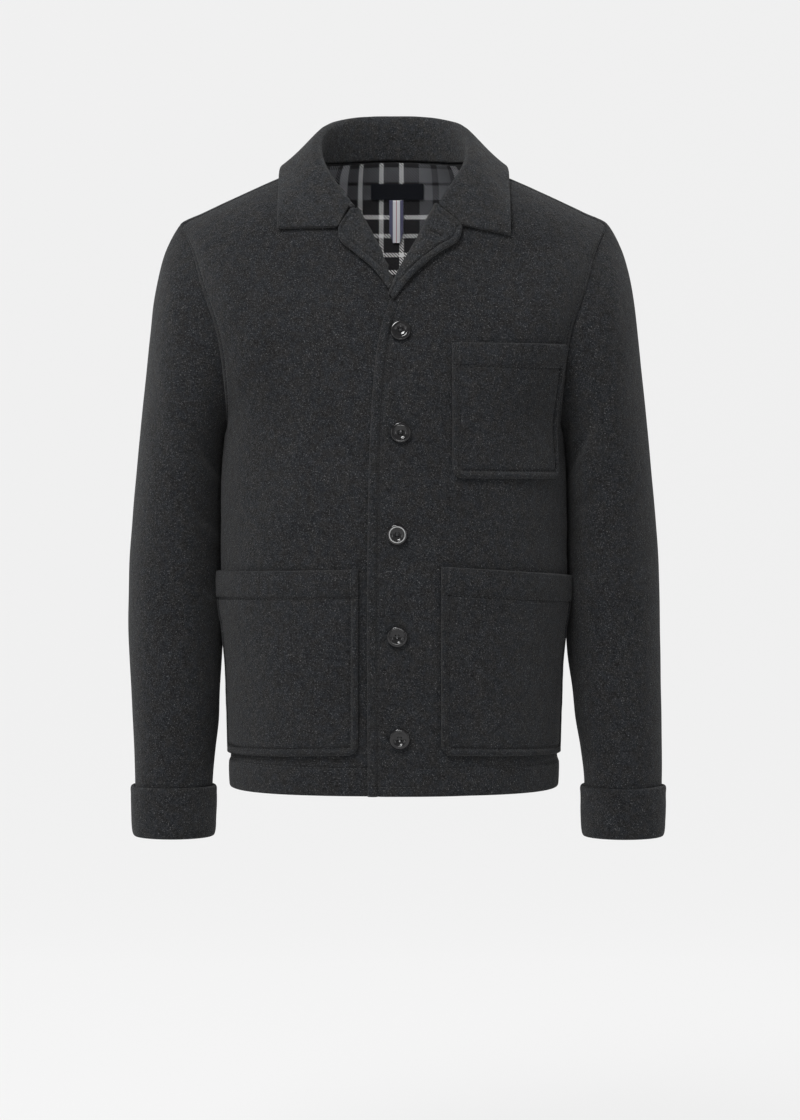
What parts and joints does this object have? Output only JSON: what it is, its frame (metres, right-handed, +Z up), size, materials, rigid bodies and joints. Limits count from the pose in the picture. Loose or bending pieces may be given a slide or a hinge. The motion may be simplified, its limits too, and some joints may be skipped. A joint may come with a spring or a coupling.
{
  "type": "men's button-front wool chore jacket",
  "caption": "Hip-length button-front wool jacket with a turned-down collar, small lapels, patch pockets and turned-back cuffs, filled out as if worn.",
  "frame": {"origin": "centre of the neck opening, level with the tops of the shoulder seams", "axes": "+Z up the body, +X to the wearer's left, -Y out of the front"},
  "size_m": [0.5745, 0.2789, 0.7744],
  "materials": {
    "wool": "charcoal heathered wool melton outside, black, grey and white check inside",
    "button": "near-black polished resin",
    "label": "plain black satin weave",
    "ribbon": "ribbed white ribbon with navy edges and a thin red line"
  },
  "bodies": {
    "root": {"front_left": "wool", "front_right": "wool", "back": "wool", "sleeve_left": "wool", "sleeve_right": "wool", "cuff_left": "wool", "cuff_right": "wool", "collar": "wool", "lapel_left": "wool", "lapel_right": "wool", "chest_pocket": "wool", "hip_pocket_left": "wool", "hip_pocket_right": "wool", "button_1": "button", "button_2": "button", "button_3": "button", "button_4": "button", "button_5": "button", "label": "label", "hanger_loop": "ribbon"}
  },
  "joints": []
}
